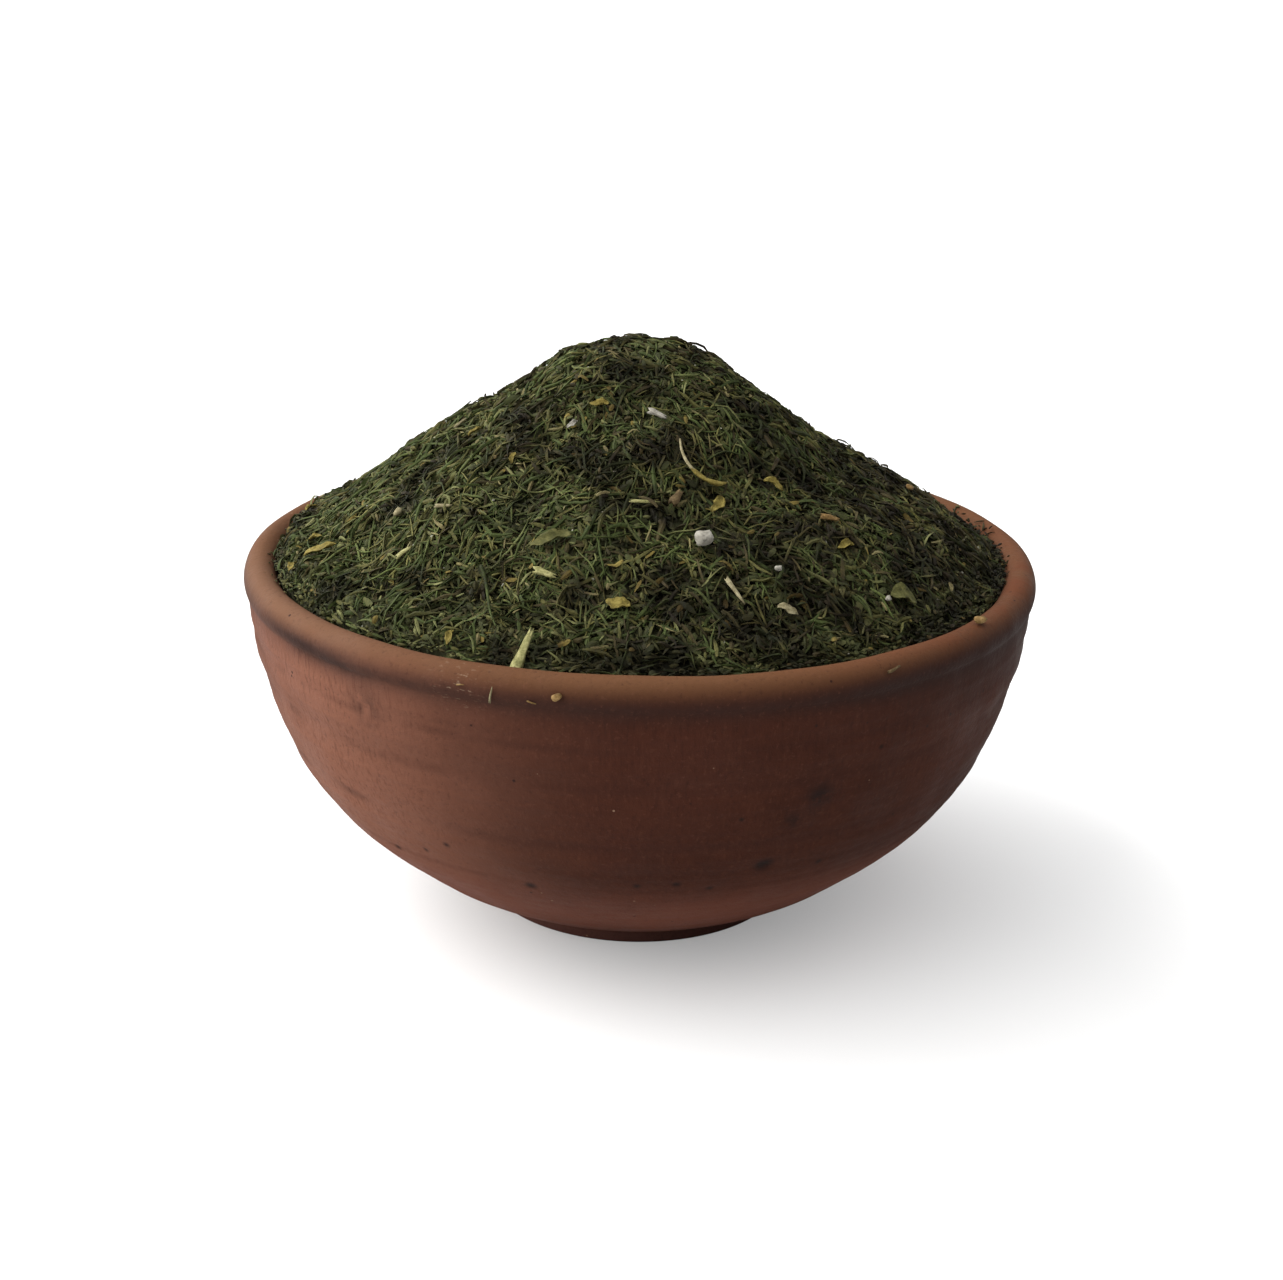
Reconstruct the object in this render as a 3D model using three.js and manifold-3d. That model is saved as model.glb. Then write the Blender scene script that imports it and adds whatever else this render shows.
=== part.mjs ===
// A small unglazed clay bowl, thrown on a wheel, heaped with dried and chopped dill.
// Lengths are in millimetres and Z is up. The origin is the middle of the bowl's flat foot.

import * as THREE from "three";
import { mergeVertices } from "three/addons/utils/BufferGeometryUtils.js";
import Module from "manifold-3d";

const wasm = await Module();
wasm.setup();

// Bowl sizes. A pair is a radius and a height.
const BOWL_SIDES = 48;
const FOOT = [[0, 0], [23.4, 0], [24, 0.6], [24.4, 3.2]];
const BELLY = [
  [25.4, 3.8], [32.8, 6.7], [40.6, 12.3], [48.2, 19.5],
  [53.6, 27.9], [56.6, 36.2], [58.7, 44.6], [59.2, 49.6],
];
const BELLY_STEPS = 22;
const GROOVE = [58.7, 50.8];
const LIP_MIDDLE = [57.5, 53.2];
const LIP_HALF_WIDTH = 2.5;
const LIP_HALF_HEIGHT = 2.7;
const LIP_FROM = -50;
const LIP_TO = 165;
const LIP_STEPS = 8;
const LIP_TOP = LIP_MIDDLE[1] + LIP_HALF_HEIGHT;
const INSIDE = [
  [54.9, 50.5], [53.7, 44.6], [51.6, 36.2], [48.2, 28.2],
  [43, 21], [36, 14.8], [27, 10.8], [14, 9.2], [0, 8.8],
];
const INSIDE_STEPS = 9;
const RIPPLE = 0.2;
const RIPPLE_PITCH = 7.5;

// The heap's surface, left and right of the middle. A pair is a distance from the middle and a height.
const LEFT_SLOPE = [
  [0, 88.2], [5, 87.4], [11, 85.8], [19, 80.4],
  [29, 74.5], [39, 67.9], [47, 61.5], [54.5, 58.4],
];
const RIGHT_SLOPE = [
  [0, 88.2], [5, 86.5], [11, 84.9], [19, 79.4],
  [29, 71.2], [39, 66.1], [47, 61.2], [54.5, 55.2],
];
const LUMP = 0.55;
const LUMP_REACH = 52;
const HEAP_SIDES = 32;
const HEAP_RINGS = [50.5, 45, 39.5, 34, 28.5, 23, 17.5, 12, 6.5, 0];
const HEAP_EDGE = [54.4, 55];
const CORE_DEPTH = 1.2;
const GAP = 0.3;
const FACET_ROOM = 0.1;

// The chopped threads, larger than life, with their roots sunk in the heap's core.
const THREADS = 840;
const THREAD_STRIDE = 311;
const THREAD_TRIES = 40;
const THREAD_SHORTENING = 0.5;
const THREAD_SPACING = 0.5;
const TIP_SAMPLES = 4;
const THREAD_SEED = 20267;
const THREAD_LENGTH = [9, 14.5];
const THREAD_WIDTH = [1.3, 1.9];
const THREAD_HEIGHT = 0.75;
const ROOT_DEPTH = 1.1;
const BACK_RISE = 0.35;
const TIP_RISE = 1.15;
const BACK_PART = 0.35;
const THREAD_BEND = 0.5;
const THREAD_REACH = 53.4;
const SPILL_REACH = 56.5;

const terracotta = new THREE.MeshStandardMaterial({ color: 0x7a4a38, roughness: 0.85, metalness: 0 });
const driedGreen = new THREE.MeshStandardMaterial({ color: 0x2f3d1e, roughness: 0.9, metalness: 0 });
const paleGreen = new THREE.MeshStandardMaterial({ color: 0x9aa870, roughness: 0.85, metalness: 0 });
const olive = new THREE.MeshStandardMaterial({ color: 0x5d6a35, roughness: 0.85, metalness: 0 });
const straw = new THREE.MeshStandardMaterial({ color: 0xb9a277, roughness: 0.85, metalness: 0 });
const yellow = new THREE.MeshStandardMaterial({ color: 0xa89a3a, roughness: 0.85, metalness: 0 });
const tan = new THREE.MeshStandardMaterial({ color: 0xa78a6e, roughness: 0.85, metalness: 0 });
const brown = new THREE.MeshStandardMaterial({ color: 0x6d5a48, roughness: 0.85, metalness: 0 });
const white = new THREE.MeshStandardMaterial({ color: 0xe4e4e6, roughness: 0.8, metalness: 0 });

// The distinct fragments that lie on the heap: where each lies, the way it points in degrees
// from +X, its length, width and thickness, and its material.
const STICKS = [
  { name: "stalk_chip", at: [-14.7, -50.8], turn: 72, size: [6, 1.5, 0.9], material: paleGreen },
  { name: "straw_sliver", at: [12.8, -43], turn: -58, size: [4.2, 0.9, 0.7], material: straw },
  { name: "tan_chip", at: [26.5, -25.2], turn: 12, size: [2.8, 1.3, 0.8], material: tan },
  { name: "brown_chip", at: [4.9, -29.9], turn: 80, size: [3.2, 1.5, 0.7], material: brown },
  { name: "green_chip", at: [-12.6, -41.3], turn: -30, size: [3.6, 1.2, 0.8], material: paleGreen },
];
const LEAVES = [
  { name: "yellow_leaf", at: [10.6, -28.7], turn: 75, size: [4, 1.5, 0.6], material: yellow },
  { name: "olive_leaf", at: [-12.2, -36.4], turn: 8, size: [6, 2, 0.6], material: olive },
  { name: "round_leaf", at: [36.4, -33.4], turn: 10, size: [4.2, 3, 0.6], material: olive },
  { name: "pale_flake", at: [19.8, -43.7], turn: -10, size: [3, 1.3, 0.6], material: straw },
  { name: "yellow_flake_front", at: [-2.8, -45.8], turn: -20, size: [3.4, 1.9, 0.6], material: yellow },
  { name: "yellow_flake_right", at: [28.5, -29.4], turn: 35, size: [3.2, 1.2, 0.6], material: yellow },
  { name: "yellow_flake_middle", at: [18.7, -21.4], turn: -15, size: [3.2, 1.3, 0.6], material: yellow },
  { name: "yellow_flake_left", at: [-46.2, -18.6], turn: 5, size: [4.8, 1.5, 0.6], material: yellow },
  { name: "yellow_flake_upper", at: [-6.2, -15.4], turn: -12, size: [2.8, 1.1, 0.6], material: yellow },
];
const LUMPS = [
  { name: "white_clump", at: [8.5, -36.4], turn: 20, size: [2.9, 2.5, 2.1], material: white },
  { name: "white_bit", at: [2.1, -17.6], turn: -29, size: [2.8, 1.3, 1], material: white },
  { name: "white_speck", at: [-9.9, -17.9], turn: 40, size: [2, 1.1, 0.8], material: white },
];
const FRAGMENT_LIFT = 0.75;
const LEAF_STEPS = 4;
const LEAF_WAVE = 0.15;
const LEAF_ARCH = 0.06;
const LUMP_KNOB = 0.12;

// A thin curled stalk lies across the front of the heap.
const CURLED_STALK = [[5.3, -21.5], [5.6, -23.4], [6.6, -25.3], [8.4, -26.2], [10.4, -25.9], [12, -24.8]];
const CURLED_STALK_RADIUS = 0.4;
const CURLED_STALK_SIDES = 6;
const CURLED_STALK_STEPS = 10;
const CURLED_STALK_LIFT = 0.9;

// One crumb has fallen on the bowl's lip, at a bearing in degrees from +X.
const LIP_CRUMB = { name: "lip_crumb", bearing: 325, turn: 30, size: [2.2, 1.4, 0.9], material: tan };

// Small helpers.

function seeded(seed) {
  let state = seed;
  return () => {
    state = (state * 1664525 + 1013904223) % 4294967296;
    return state / 4294967296;
  };
}

function between(random, [low, high]) {
  return low + (high - low) * random();
}

function points(pairs) {
  return pairs.map(([r, z]) => new THREE.Vector2(r, z));
}

// A smooth line through pairs of distance and height, level at the first pair.
function slopeHeight(pairs, r) {
  const last = pairs.length - 1;
  if (r >= pairs[last][0]) {
    return pairs[last][1];
  }
  const i = pairs.findIndex((pair) => pair[0] > r) - 1;
  const grade = (k) => {
    if (k === 0) {
      return 0;
    }
    const [r0, z0] = pairs[k - 1];
    const [r1, z1] = pairs[Math.min(k + 1, last)];
    return (z1 - z0) / (r1 - r0);
  };
  const [r0, z0] = pairs[i];
  const [r1, z1] = pairs[i + 1];
  const step = r1 - r0;
  const t = (r - r0) / step;
  const blend = t * t * (3 - 2 * t);
  const bow = t * (1 - t) * step;
  return z0 + (z1 - z0) * blend + bow * ((1 - t) * grade(i) - t * grade(i + 1));
}

function heapHeight(x, y) {
  const r = Math.hypot(x, y);
  const right = r > 0 ? (1 + x / r) / 2 : 0.5;
  const mound = slopeHeight(LEFT_SLOPE, r) * (1 - right) + slopeHeight(RIGHT_SLOPE, r) * right;
  const fade = Math.sin(Math.PI * Math.min(1, r / LUMP_REACH));
  const lumps = Math.sin(x / 4.9 + 1.2) * Math.sin(y / 5.6 + 0.4) + 0.6 * Math.sin((x - y) / 4.3 + 2);
  return mound + LUMP * lumps * fade;
}

function heapNormal(x, y) {
  const d = 0.5;
  const dx = (heapHeight(x + d, y) - heapHeight(x - d, y)) / (2 * d);
  const dy = (heapHeight(x, y + d) - heapHeight(x, y - d)) / (2 * d);
  return new THREE.Vector3(-dx, -dy, 1).normalize();
}

// A point on the heap's surface, moved out along the normal by a rise.
function onHeap(x, y, rise) {
  return new THREE.Vector3(x, y, heapHeight(x, y)).addScaledVector(heapNormal(x, y), rise);
}

// Turns a lathe made about Y, as three.js does, so that it stands on Z.
function lathe(profile, sides) {
  return new THREE.LatheGeometry(profile, sides).rotateX(Math.PI / 2);
}

// A closed solid from a geometry whose seams still have doubled points.
function solid(geometry) {
  geometry.deleteAttribute("normal");
  geometry.deleteAttribute("uv");
  const merged = mergeVertices(geometry, 1e-4);
  const index = merged.index.array;
  const kept = [];
  for (let i = 0; i < index.length; i += 3) {
    const [a, b, c] = [index[i], index[i + 1], index[i + 2]];
    if (a !== b && b !== c && c !== a) {
      kept.push(a, b, c);
    }
  }
  const vertProperties = new Float32Array(merged.attributes.position.array);
  const triVerts = new Uint32Array(kept);
  return new wasm.Manifold(new wasm.Mesh({ numProp: 3, vertProperties, triVerts }));
}

function geometryOf(manifold) {
  const mesh = manifold.getMesh();
  const geometry = new THREE.BufferGeometry();
  geometry.setAttribute("position", new THREE.BufferAttribute(new Float32Array(mesh.vertProperties), 3));
  geometry.setIndex(new THREE.BufferAttribute(new Uint32Array(mesh.triVerts), 1));
  const flat = geometry.toNonIndexed();
  flat.computeVertexNormals();
  return flat;
}

function named(name, geometry, material) {
  const mesh = new THREE.Mesh(geometry, material);
  mesh.name = name;
  return mesh;
}

// The clay bowl.

function lipArc() {
  const arc = [];
  for (let i = 0; i <= LIP_STEPS; i += 1) {
    const angle = THREE.MathUtils.degToRad(LIP_FROM + (LIP_TO - LIP_FROM) * i / LIP_STEPS);
    const r = LIP_MIDDLE[0] + LIP_HALF_WIDTH * Math.cos(angle);
    const z = LIP_MIDDLE[1] + LIP_HALF_HEIGHT * Math.sin(angle);
    arc.push(new THREE.Vector2(r, z));
  }
  return arc;
}

// The line down the inside of the bowl, moved in from the clay by an inset.
function insideLine(inset) {
  const curve = new THREE.SplineCurve(points(INSIDE));
  const line = [];
  for (let i = 0; i <= INSIDE_STEPS; i += 1) {
    const t = i / INSIDE_STEPS;
    const along = curve.getTangentAt(t);
    const point = curve.getPointAt(t);
    point.x += along.y * inset;
    point.y -= along.x * inset;
    line.push(point);
  }
  line[INSIDE_STEPS].x = 0;
  return line;
}

function bowl() {
  const belly = new THREE.SplineCurve(points(BELLY)).getSpacedPoints(BELLY_STEPS);
  for (const point of belly.slice(2, -1)) {
    point.x += RIPPLE * Math.cos(2 * Math.PI * point.y / RIPPLE_PITCH);
  }
  const profile = [...points(FOOT), ...belly, ...points([GROOVE]), ...lipArc(), ...insideLine(0)];
  return lathe(profile, BOWL_SIDES);
}

// The heap of dill.

function heapCore() {
  const inside = insideLine(GAP + FACET_ROOM).reverse();
  const rings = HEAP_RINGS.map((r) => [r, HEAP_EDGE[1]]);
  const profile = [...inside, ...points([HEAP_EDGE, ...rings])];
  const geometry = lathe(profile, HEAP_SIDES);
  const position = geometry.attributes.position;
  for (let i = 0; i < position.count; i += 1) {
    const [x, y] = [position.getX(i), position.getY(i)];
    const onTop = position.getZ(i) > LIP_MIDDLE[1];
    if (onTop && Math.hypot(x, y) < HEAP_RINGS[0] + 1) {
      position.setZ(i, heapHeight(x, y) - CORE_DEPTH);
    }
  }
  return solid(geometry);
}

// The stretches that threads keep off: each fragment's own length and half its width.
function keepOuts() {
  const stretches = [...STICKS, ...LEAVES, ...LUMPS].map(({ at: [x, y], turn, size: [length, width] }) => {
    const angle = THREE.MathUtils.degToRad(turn);
    const half = Math.max(0, length - width) / 2;
    const [dx, dy] = [half * Math.cos(angle), half * Math.sin(angle)];
    return { from: onHeap(x - dx, y - dy, 0), to: onHeap(x + dx, y + dy, 0), radius: width / 2 + GAP };
  });
  for (let i = 0; i < CURLED_STALK.length - 1; i += 1) {
    const [from, to] = [onHeap(...CURLED_STALK[i], 0), onHeap(...CURLED_STALK[i + 1], 0)];
    stretches.push({ from, to, radius: CURLED_STALK_RADIUS + GAP });
  }
  return stretches;
}

// A thread's path over the heap: its root in the core, its bent back, and its raised tip.
function threadPath(x, y, heading, length, bend) {
  const backX = x + BACK_PART * length * Math.cos(heading);
  const backY = y + BACK_PART * length * Math.sin(heading);
  const tipX = backX + (1 - BACK_PART) * length * Math.cos(heading + bend);
  const tipY = backY + (1 - BACK_PART) * length * Math.sin(heading + bend);
  return [
    onHeap(x, y, -CORE_DEPTH - ROOT_DEPTH),
    onHeap(backX, backY, BACK_RISE - CORE_DEPTH),
    onHeap(tipX, tipY, TIP_RISE - CORE_DEPTH),
  ];
}

// True where a path would leave the bowl's mouth or touch a stretch that is taken.
function blocked([root, back, tip], width, stretches) {
  const line = new THREE.Line3();
  const nearest = new THREE.Vector3();
  const samples = [root.clone().lerp(back, 0.5)];
  for (let i = 0; i <= TIP_SAMPLES; i += 1) {
    samples.push(back.clone().lerp(tip, i / TIP_SAMPLES));
  }
  return samples.some((point) => {
    const r = Math.hypot(point.x, point.y);
    if (r > SPILL_REACH || (r > THREAD_REACH && point.z < LIP_TOP + GAP + width / 2)) {
      return true;
    }
    return stretches.some(({ from, to, radius }) => {
      line.set(from, to).closestPointToPoint(point, true, nearest);
      return nearest.distanceTo(point) < radius + width / 2;
    });
  });
}

// One chopped thread: a bent three-sided blade that leaves the core at its root and thins to its tip.
function thread(path, width) {
  const [root, back, tip] = path;
  const along = tip.clone().sub(root).normalize();
  const up = heapNormal(back.x, back.y);
  const side = new THREE.Vector3().crossVectors(up, along).normalize();
  const shape = [];
  for (const middle of [root, back]) {
    shape.push(middle.clone().addScaledVector(side, width / 2));
    shape.push(middle.clone().addScaledVector(up, THREAD_HEIGHT));
    shape.push(middle.clone().addScaledVector(side, -width / 2));
  }
  shape.push(tip);
  const index = [0, 2, 1];
  for (let k = 0; k < 3; k += 1) {
    const next = (k + 1) % 3;
    index.push(k, next, next + 3, k, next + 3, k + 3, k + 3, next + 3, 6);
  }
  return new THREE.BufferGeometry().setFromPoints(shape).setIndex(index);
}

// Threads are spread evenly by a sunflower's spiral, here and there in turn. Each is turned,
// and then shortened, until it lies clear of the others.
function threads() {
  const random = seeded(THREAD_SEED);
  const stretches = keepOuts();
  const solids = [];
  for (let turn = 0; turn < THREADS; turn += 1) {
    const i = turn * THREAD_STRIDE % THREADS;
    const r = THREAD_REACH * Math.sqrt((i + 0.5) / THREADS);
    const bearing = i * Math.PI * (3 - Math.sqrt(5));
    const width = between(random, THREAD_WIDTH);
    const longest = between(random, THREAD_LENGTH);
    for (let attempt = 0; attempt < THREAD_TRIES; attempt += 1) {
      const heading = between(random, [0, 2 * Math.PI]);
      const bend = between(random, [-THREAD_BEND, THREAD_BEND]);
      const length = longest * (1 - THREAD_SHORTENING * attempt / THREAD_TRIES);
      const path = threadPath(r * Math.cos(bearing), r * Math.sin(bearing), heading, length, bend);
      if (!blocked(path, width, stretches)) {
        solids.push(solid(thread(path, width)));
        const [root, back, tip] = path;
        const radius = THREAD_SPACING * width / 2;
        stretches.push({ from: root.lerp(back, 0.5), to: back, radius }, { from: back, to: tip, radius });
        break;
      }
    }
  }
  return solids;
}

function heap() {
  return geometryOf(threads().reduce((whole, one) => whole.add(one), heapCore()));
}

// The distinct fragments. Each is made flat, pointing along X, with its underside at height 0.

function slab(outline, depth) {
  return new THREE.ExtrudeGeometry(new THREE.Shape(points(outline)), { depth, bevelEnabled: false });
}

// A broken piece of stalk, with one end snapped off at a slant.
function stick([length, width, thickness]) {
  const [l, w] = [length / 2, width / 2];
  const near = [[-0.8 * l, w], [-l, -0.6 * w], [-0.2 * l, -w]];
  const far = [[0.85 * l, -0.8 * w], [l, 0.1 * w], [0.7 * l, 0.9 * w]];
  return slab([...near, ...far], thickness);
}

// A scrap of leaf, pointed at both ends and arched along its length.
function leaf([length, width, thickness]) {
  const outline = [];
  for (let i = 0; i < 2 * LEAF_STEPS; i += 1) {
    const angle = Math.PI * i / LEAF_STEPS;
    const lobe = 1 + LEAF_WAVE * Math.cos(3 * angle);
    outline.push([length / 2 * Math.cos(angle), width / 2 * Math.sin(angle) * lobe]);
  }
  const geometry = slab(outline, thickness);
  const position = geometry.attributes.position;
  for (let i = 0; i < position.count; i += 1) {
    const arch = 1 - (2 * position.getX(i) / length) ** 2;
    position.setZ(i, position.getZ(i) + LEAF_ARCH * length * arch);
  }
  return geometry;
}

// A rough little lump.
function lump([length, width, height]) {
  const geometry = new THREE.IcosahedronGeometry(1, 1);
  const position = geometry.attributes.position;
  for (let i = 0; i < position.count; i += 1) {
    const [x, y, z] = [position.getX(i), position.getY(i), position.getZ(i)];
    const knob = 1 + LUMP_KNOB * Math.sin(5 * x + 2) * Math.cos(4 * y + 3 * z);
    position.setXYZ(i, x * knob * length / 2, y * knob * width / 2, (z * knob + 1) * height / 2);
  }
  return geometry;
}

// The turn that lays a piece flat on a slope: X runs along a heading and Z is the slope's normal.
function layFlat(normal, heading) {
  const along = new THREE.Vector3(Math.cos(heading), Math.sin(heading), 0);
  const across = new THREE.Vector3().crossVectors(normal, along).normalize();
  along.crossVectors(across, normal);
  return new THREE.Matrix4().makeBasis(along, across, normal);
}

function fragment({ name, at: [x, y], turn, size, material }, outline) {
  const mesh = named(name, outline(size), material);
  mesh.position.copy(onHeap(x, y, FRAGMENT_LIFT - CORE_DEPTH));
  mesh.quaternion.setFromRotationMatrix(layFlat(heapNormal(x, y), THREE.MathUtils.degToRad(turn)));
  return mesh;
}

function curledStalk() {
  const lift = CURLED_STALK_LIFT - CORE_DEPTH;
  const extrudePath = new THREE.CatmullRomCurve3(CURLED_STALK.map(([x, y]) => onHeap(x, y, lift)));
  const round = [];
  for (let i = 0; i < CURLED_STALK_SIDES; i += 1) {
    const angle = 2 * Math.PI * i / CURLED_STALK_SIDES;
    round.push([CURLED_STALK_RADIUS * Math.cos(angle), CURLED_STALK_RADIUS * Math.sin(angle)]);
  }
  const shape = new THREE.Shape(points(round));
  return new THREE.ExtrudeGeometry(shape, { steps: CURLED_STALK_STEPS, extrudePath });
}

function lipCrumb() {
  const bearing = THREE.MathUtils.degToRad(LIP_CRUMB.bearing);
  const mesh = named(LIP_CRUMB.name, lump(LIP_CRUMB.size), LIP_CRUMB.material);
  const r = LIP_MIDDLE[0];
  mesh.position.set(r * Math.cos(bearing), r * Math.sin(bearing), LIP_TOP + GAP);
  mesh.rotation.z = THREE.MathUtils.degToRad(LIP_CRUMB.turn);
  return mesh;
}

const bowlOfDill = new THREE.Group();
bowlOfDill.name = "bowl_of_dried_dill";
bowlOfDill.add(named("clay_bowl", bowl(), terracotta));
bowlOfDill.add(named("dill_heap", heap(), driedGreen));
bowlOfDill.add(named("curled_stalk", curledStalk(), straw));
for (const [kind, outline] of [[STICKS, stick], [LEAVES, leaf], [LUMPS, lump]]) {
  for (const one of kind) {
    bowlOfDill.add(fragment(one, outline));
  }
}
bowlOfDill.add(lipCrumb());

export default bowlOfDill;
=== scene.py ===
"""A small unglazed clay bowl heaped with dried, chopped dill, on a pale floor."""

import math
from dataclasses import dataclass

import bpy
import numpy as np
from mathutils import Matrix, Vector


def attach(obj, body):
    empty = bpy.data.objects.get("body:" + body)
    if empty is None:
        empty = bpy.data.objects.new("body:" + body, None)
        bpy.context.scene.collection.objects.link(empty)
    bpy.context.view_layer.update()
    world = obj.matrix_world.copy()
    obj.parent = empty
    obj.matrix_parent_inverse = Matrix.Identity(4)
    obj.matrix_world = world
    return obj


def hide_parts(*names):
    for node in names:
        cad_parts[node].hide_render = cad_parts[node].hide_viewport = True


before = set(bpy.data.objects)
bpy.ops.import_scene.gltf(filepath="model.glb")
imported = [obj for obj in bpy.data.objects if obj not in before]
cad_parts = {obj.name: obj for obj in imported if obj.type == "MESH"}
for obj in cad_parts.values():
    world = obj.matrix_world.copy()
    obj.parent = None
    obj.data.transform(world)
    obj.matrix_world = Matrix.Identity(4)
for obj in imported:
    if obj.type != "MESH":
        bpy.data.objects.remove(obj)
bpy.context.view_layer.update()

MM = 0.001
SEED = 40517

# The camera, fitted to the bowl's outline and lip. Places are in millimetres until they meet a mesh.
CAMERA_TARGET = (0.4, 0.0, 40.3)
CAMERA_DISTANCE = 324.5
CAMERA_ELEVATION = 19.8
CAMERA_ROLL = 0.99
SENSOR_WIDTH = 36.0
CAMERA_LENS = 58.475

# The bowl. A pair is a radius and a height.
FOOT = [(0, 0), (23.2, 0), (23.8, 0.25), (24.15, 0.8), (24.5, 3.0), (24.9, 3.5)]
BELLY = [
    (25.4, 3.8), (32.8, 6.7), (40.6, 12.3), (48.2, 19.5),
    (53.6, 27.9), (56.6, 36.2), (58.8, 44.6), (59.4, 50.3),
]
GROOVE = [(59.38, 50.7), (59.35, 51.05)]
LIP_MIDDLE = (57.5, 53.2)
LIP_HALF = (2.5, 2.7)
LIP_TOP = LIP_MIDDLE[1] + LIP_HALF[1]
LIP_SPAN = (-40, 165)
INSIDE = [
    (54.9, 50.5), (53.7, 44.6), (51.6, 36.2), (48.2, 28.2),
    (43, 21), (36, 14.8), (27, 10.8), (14, 9.2), (0, 8.8),
]
BOWL_SIDES = 288
BELLY_STEPS = 150
LIP_STEPS = 30
INSIDE_STEPS = 40
# A hand-thrown bowl is never quite round, and its lip waves a little: rise, waves in a turn and phase.
WOBBLES = [(0.1, 2, 0.7), (0.06, 5, 1.9), (0.03, 11, 0)]
WOBBLE_SHARE = 0.7
LIP_WAVES = [(0.1, 3, 0.4), (0.06, 8, 2.2), (0.04, 19, 0)]
SHRUNK = 0.12
LIP_SUNK = 0.08
# Fine rings from the potter's fingers: height, depth and half width.
RINGS = [
    (46.2, -0.15, 1.2), (43.6, 0.11, 1.2), (39.9, -0.16, 1.4), (35.2, 0.12, 1.6), (30.2, -0.17, 1.5),
    (26.6, 0.09, 1.3), (21.6, -0.11, 1.2), (12.6, -0.08, 0.9), (9.2, 0.07, 0.8),
]
# Darker bands along the finger-ring grooves: height, half width and strength.
RING_MARKS = [(46.0, 1.1, 0.35), (39.9, 1.3, 0.35), (30.2, 1.4, 0.4), (21.6, 0.9, 0.25)]
# Small pits in the clay: bearing in degrees from +X, height, radius and depth.
PITS = [
    (227.0, 21.4, 0.45, 0.3), (235.3, 23.9, 0.4, 0.3), (240.7, 26.6, 0.4, 0.25), (253.1, 20.9, 0.6, 0.35),
    (270.4, 23.0, 0.45, 0.25), (276.5, 23.3, 0.5, 0.3), (281.9, 22.0, 0.4, 0.3), (289.6, 26.0, 0.9, 0.45),
    (284.5, 34.9, 0.3, 0.25), (304.0, 43.2, 0.3, 0.2), (299.5, 24.5, 0.45, 0.25), (147.0, 30.0, 0.5, 0.3),
    (98.0, 24.0, 0.6, 0.35), (61.0, 35.0, 0.4, 0.25), (12.0, 21.0, 0.5, 0.3), (187.0, 38.0, 0.35, 0.2),
]
# The middle of the pale scuffs on the lip.
SCUFFS = (-23.3, -54.9, 53.6)
# Smudges of soot: bearing, height, radius and strength.
SMUDGES = [
    (295.6, 37.0, 3.4, 0.9), (292.0, 33.5, 2.4, 0.6), (289.6, 26.0, 2.2, 0.85),
    (253.1, 20.9, 1.4, 0.5), (232.0, 47.0, 5.0, 0.4), (120.0, 34.0, 4.0, 0.5),
]

# The heap, as in the solid model.
LEFT_SLOPE = [
    (0, 88.2), (5, 87.4), (11, 85.8), (19, 80.4), (29, 74.5), (39, 67.9), (47, 61.5), (54.5, 58.4),
]
RIGHT_SLOPE = [
    (0, 88.2), (5, 86.5), (11, 84.9), (19, 79.4), (29, 71.2), (39, 66.1), (47, 61.2), (54.5, 55.2),
]
LUMP = 0.55
LUMP_REACH = 52
CORE_SIDES = 240
CORE_RINGS = 90
CORE_DEPTH = 1.5
CORE_REACH = 54.0
CORE_GAP = 0.45

# The fine threads pack a little lower than the solid model's, and fall to the lip at the edge.
SETTLED = 0.65
EDGE = (52.2, 55.5)
EDGE_HEIGHT = LIP_TOP - 0.55
REACH = 55.3
# Where the mound bulges or sags a little: place, breadth and height.
BULGES = [
    (-14.0, 2.0, 4.5, 0.9), (-23.0, 2.0, 5.5, -0.7), (-36.0, -4.0, 5.0, 0.4), (24.0, -30.0, 6.0, 0.35),
]


@dataclass
class Family:
    """Loose chopped pieces of one kind. Each takes a colour between the first and the last."""
    name: str
    count: int
    lengths: tuple
    widths: tuple
    lifts: tuple
    colours: tuple
    lean: float = 0.0
    curl: float = 0.3
    flatness: float = 0.55
    stations: int = 5
    inner: float = 0.0


# The leans put darker pieces more on the right and greener, lighter ones more on the left: partly the
# herb's own mix, partly painted shade on the side away from the key light. The lowest pieces,
# dill_shadow, are painted darker as shade deep in the heap.
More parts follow.
